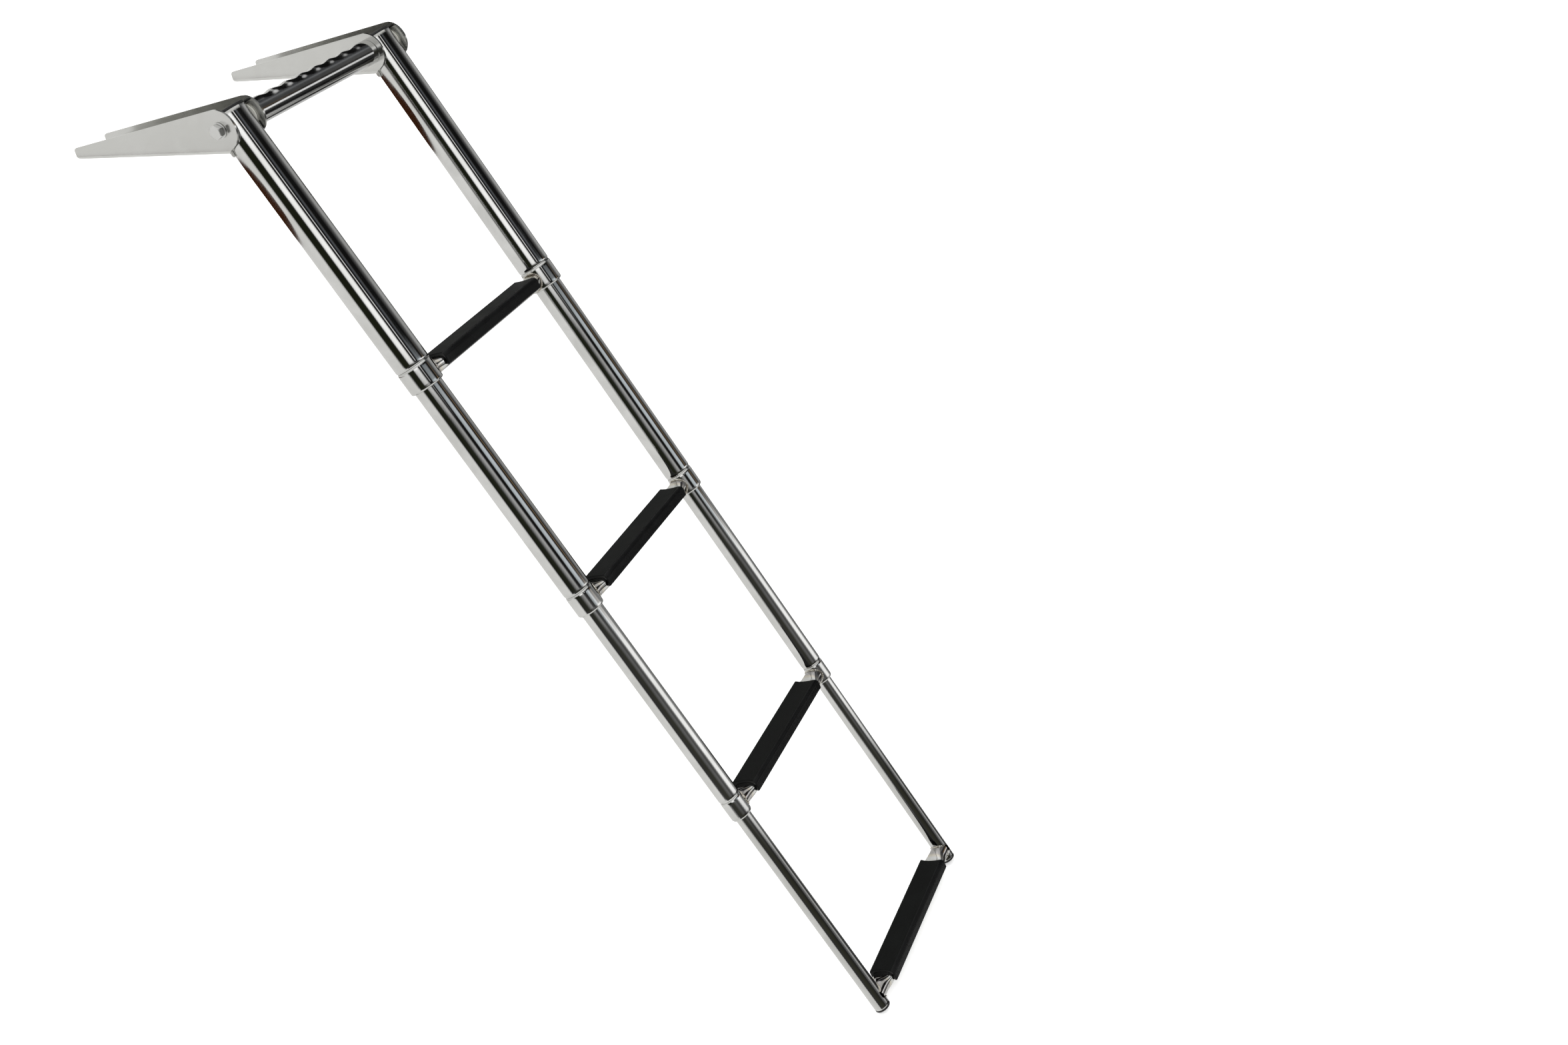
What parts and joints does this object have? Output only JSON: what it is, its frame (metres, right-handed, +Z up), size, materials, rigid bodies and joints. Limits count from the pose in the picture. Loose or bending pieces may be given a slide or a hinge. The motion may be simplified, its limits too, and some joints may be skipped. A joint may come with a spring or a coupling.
{
  "type": "boat boarding ladder",
  "caption": "Telescoping stainless drop ladder with black clip-on treads, hinged on two over-platform brackets joined by a finger-grip grab bar, shown lowered and extended",
  "frame": {"origin": "on the platform's surface, midway between the brackets and under the pivot axis", "axes": "+X outboard, away from the boat; +Y to the right of a person climbing; +Z up"},
  "size_m": [0.7189, 0.305, 1.0961],
  "materials": {
    "polished_steel": "mirror polished stainless steel",
    "bolt_steel": "satin stainless steel",
    "black_plastic": "matte black moulded plastic",
    "nylon": "natural nylon"
  },
  "bodies": {
    "brackets": {"grab_bar": "polished_steel", "bracket_left": "polished_steel", "pivot_bolt_left": "bolt_steel", "bolt_washer_left": "bolt_steel", "spacer_left_outer": "nylon", "spacer_left_inner": "nylon", "grab_bar_insert_left": "bolt_steel", "bracket_right": "polished_steel", "pivot_bolt_right": "bolt_steel", "bolt_washer_right": "bolt_steel", "spacer_right_outer": "nylon", "spacer_right_inner": "nylon", "grab_bar_insert_right": "bolt_steel"},
    "section_1": {"rung_1": "polished_steel", "tread_1": "black_plastic", "rail_1_left": "polished_steel", "guide_bush_1_left": "black_plastic", "rail_plug_left": "black_plastic", "pivot_sleeve_left": "bolt_steel", "rail_1_right": "polished_steel", "guide_bush_1_right": "black_plastic", "rail_plug_right": "black_plastic", "pivot_sleeve_right": "bolt_steel"},
    "section_2": {"rung_2": "polished_steel", "tread_2": "black_plastic", "rail_2_left": "polished_steel", "guide_bush_2_left": "black_plastic", "stop_ring_2_left": "black_plastic", "rail_2_right": "polished_steel", "guide_bush_2_right": "black_plastic", "stop_ring_2_right": "black_plastic"},
    "section_3": {"rung_3": "polished_steel", "tread_3": "black_plastic", "rail_3_left": "polished_steel", "guide_bush_3_left": "black_plastic", "stop_ring_3_left": "black_plastic", "rail_3_right": "polished_steel", "guide_bush_3_right": "black_plastic", "stop_ring_3_right": "black_plastic"},
    "section_4": {"rung_4": "polished_steel", "tread_4": "black_plastic", "rail_4_left": "polished_steel", "stop_ring_4_left": "black_plastic", "end_cap_left": "black_plastic", "rail_4_right": "polished_steel", "stop_ring_4_right": "black_plastic", "end_cap_right": "black_plastic"}
  },
  "joints": [
    {"name": "ladder_swing", "type": "hinge", "parent": "brackets", "child": "section_1", "pos_m": [0, 0, 0.0247], "axis": [0, -1, 0], "range_deg": [0, 244.5]},
    {"name": "slide_2", "type": "slide", "parent": "section_1", "child": "section_2", "axis": [-0.4305, 0, 0.9026], "range_m": [0, 0.262]},
    {"name": "slide_3", "type": "slide", "parent": "section_2", "child": "section_3", "axis": [-0.4305, 0, 0.9026], "range_m": [0, 0.262]},
    {"name": "slide_4", "type": "slide", "parent": "section_3", "child": "section_4", "axis": [-0.4305, 0, 0.9026], "range_m": [0, 0.262]}
  ]
}
